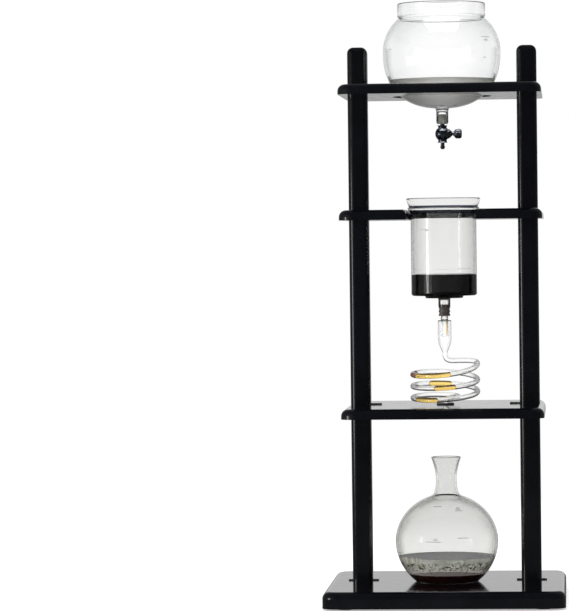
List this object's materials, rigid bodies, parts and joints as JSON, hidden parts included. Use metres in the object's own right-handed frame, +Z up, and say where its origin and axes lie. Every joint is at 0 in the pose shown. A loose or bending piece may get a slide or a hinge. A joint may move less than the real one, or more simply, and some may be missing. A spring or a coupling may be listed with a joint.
{
  "type": "cold drip coffee tower",
  "caption": "Free-standing cold drip coffee tower: black wooden stand with a glass water globe and drip tap, a brewing cylinder, a glass spiral and a round flask.",
  "frame": {"origin": "middle of the feet, on the surface that the tower stands on", "axes": "+Z up, -Y to the front where the middle shelf's slot opens, +X to the viewer's right where the tap's knob points"},
  "size_m": [0.26, 0.26, 0.6536],
  "materials": {
    "black_lacquer": "high-gloss black lacquer on wood",
    "foot_rubber": "matte moulded rubber",
    "black_steel": "black enamelled sheet steel",
    "screw_steel": "plain turned steel",
    "black_rubber": "matte moulded rubber",
    "clear_glass": "clear blown laboratory glass",
    "water": "clear water",
    "stopper_rubber": "grey-green rubber",
    "gunmetal": "dark polished gunmetal plating",
    "packing": "white packing ring",
    "filter_steel": "perforated steel sheet",
    "dark_coffee": "wet dark coffee",
    "joint_rubber": "ribbed grey-brown rubber",
    "amber_coffee": "clear amber coffee",
    "thin_brew": "thin frothy brew"
  },
  "bodies": {
    "stand": {"base_board": "black_lacquer", "post_left": "black_lacquer", "post_right": "black_lacquer", "shelf_lower": "black_lacquer", "shelf_middle": "black_lacquer", "shelf_top": "black_lacquer", "foot_pads": "foot_rubber", "angle_brackets": "black_steel", "bracket_screws": "black_steel", "base_screws": "screw_steel", "spiral_grommet": "black_rubber"},
    "reservoir": {"reservoir_globe": "clear_glass", "reservoir_water": "water", "reservoir_stopper": "stopper_rubber", "tap_body": "gunmetal", "tap_nozzle": "gunmetal", "tap_bonnet": "gunmetal", "tap_packing": "packing"},
    "needle": {"tap_spindle": "screw_steel"},
    "knob": {"tap_knob": "gunmetal", "knob_screw": "screw_steel"},
    "brewer": {"brew_cylinder": "clear_glass", "filter_disc": "filter_steel", "filter_seal": "black_rubber", "coffee_bed": "dark_coffee", "drip_joint": "joint_rubber", "drip_tube": "clear_glass"},
    "spiral": {"spiral_funnel": "clear_glass", "spiral_tube": "clear_glass", "spiral_outlet": "clear_glass", "spiral_coffee": "amber_coffee"},
    "flask": {"flask": "clear_glass", "flask_coffee": "dark_coffee", "flask_thin_brew": "thin_brew"}
  },
  "joints": [
    {"name": "reservoir_lift", "type": "slide", "parent": "stand", "child": "reservoir", "axis": [0, 0, 1], "range_m": [0, 0.12]},
    {"name": "needle_travel", "type": "slide", "parent": "reservoir", "child": "needle", "axis": [1, 0, 0], "range_m": [0, 0.0015]},
    {"name": "knob_turn", "type": "hinge", "parent": "needle", "child": "knob", "pos_m": [0.0115, 0, 0.51063], "axis": [1, 0, 0], "range_deg": [0, 800]},
    {"name": "brewer_lift", "type": "slide", "parent": "stand", "child": "brewer", "axis": [0, 0, 1], "range_m": [0, 0.04]},
    {"name": "spiral_turn", "type": "hinge", "parent": "stand", "child": "spiral", "pos_m": [0, 0, 0.214], "axis": [0, 0, 1], "continuous": true},
    {"name": "flask_slide", "type": "slide", "parent": "stand", "child": "flask", "axis": [0, -1, 0], "range_m": [0, 0.085]}
  ],
  "couplings": [
    {"joint": "knob_turn", "follows": "needle_travel", "rad_per_m": 8377}
  ]
}
